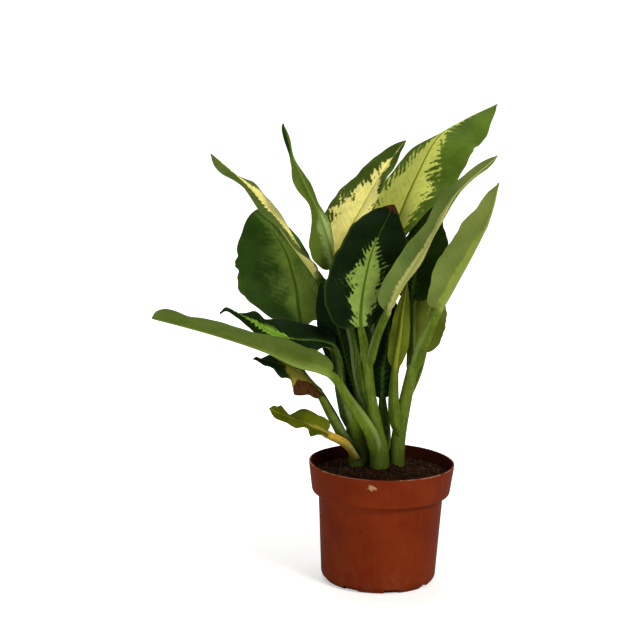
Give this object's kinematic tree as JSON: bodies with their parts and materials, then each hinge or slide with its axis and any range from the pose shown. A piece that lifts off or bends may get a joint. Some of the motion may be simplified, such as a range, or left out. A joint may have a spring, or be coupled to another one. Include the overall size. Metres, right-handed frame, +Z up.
{
  "type": "potted plant",
  "caption": "Potted dieffenbachia with canes and broad variegated leaves in a round plastic nursery pot.",
  "frame": {"origin": "middle of the pot's flat underside", "axes": "+Z up along the pot's axis, -Y towards the plant's best side"},
  "size_m": [0.2759, 0.1564, 0.3905],
  "materials": {
    "pot": "thin moulded terracotta-brown plastic with a satin sheen",
    "soil": "dark crumbly potting soil",
    "cane": "smooth living green stem",
    "leaf": "satin dark green leaf",
    "pale_leaf": "satin leaf with a pale yellow-green centre",
    "olive_leaf": "satin olive and yellowing leaf"
  },
  "bodies": {
    "root": {"pot": "pot", "soil": "soil", "cane_main": "cane", "cane_left": "cane", "cane_right": "cane", "cane_back": "cane", "leaf_top_right": "pale_leaf", "leaf_top_middle": "pale_leaf", "leaf_narrow": "leaf", "leaf_striped": "pale_leaf", "leaf_broad_left": "leaf", "leaf_curled": "leaf", "leaf_long_left": "leaf", "leaf_yellowing": "olive_leaf", "leaf_lowest": "olive_leaf", "leaf_front": "leaf", "leaf_right": "leaf", "leaf_far_right": "leaf", "leaf_behind_right": "leaf", "leaf_olive": "olive_leaf", "leaf_small_right": "leaf", "leaf_dark_middle": "leaf", "leaf_dark_right": "leaf"}
  },
  "joints": []
}
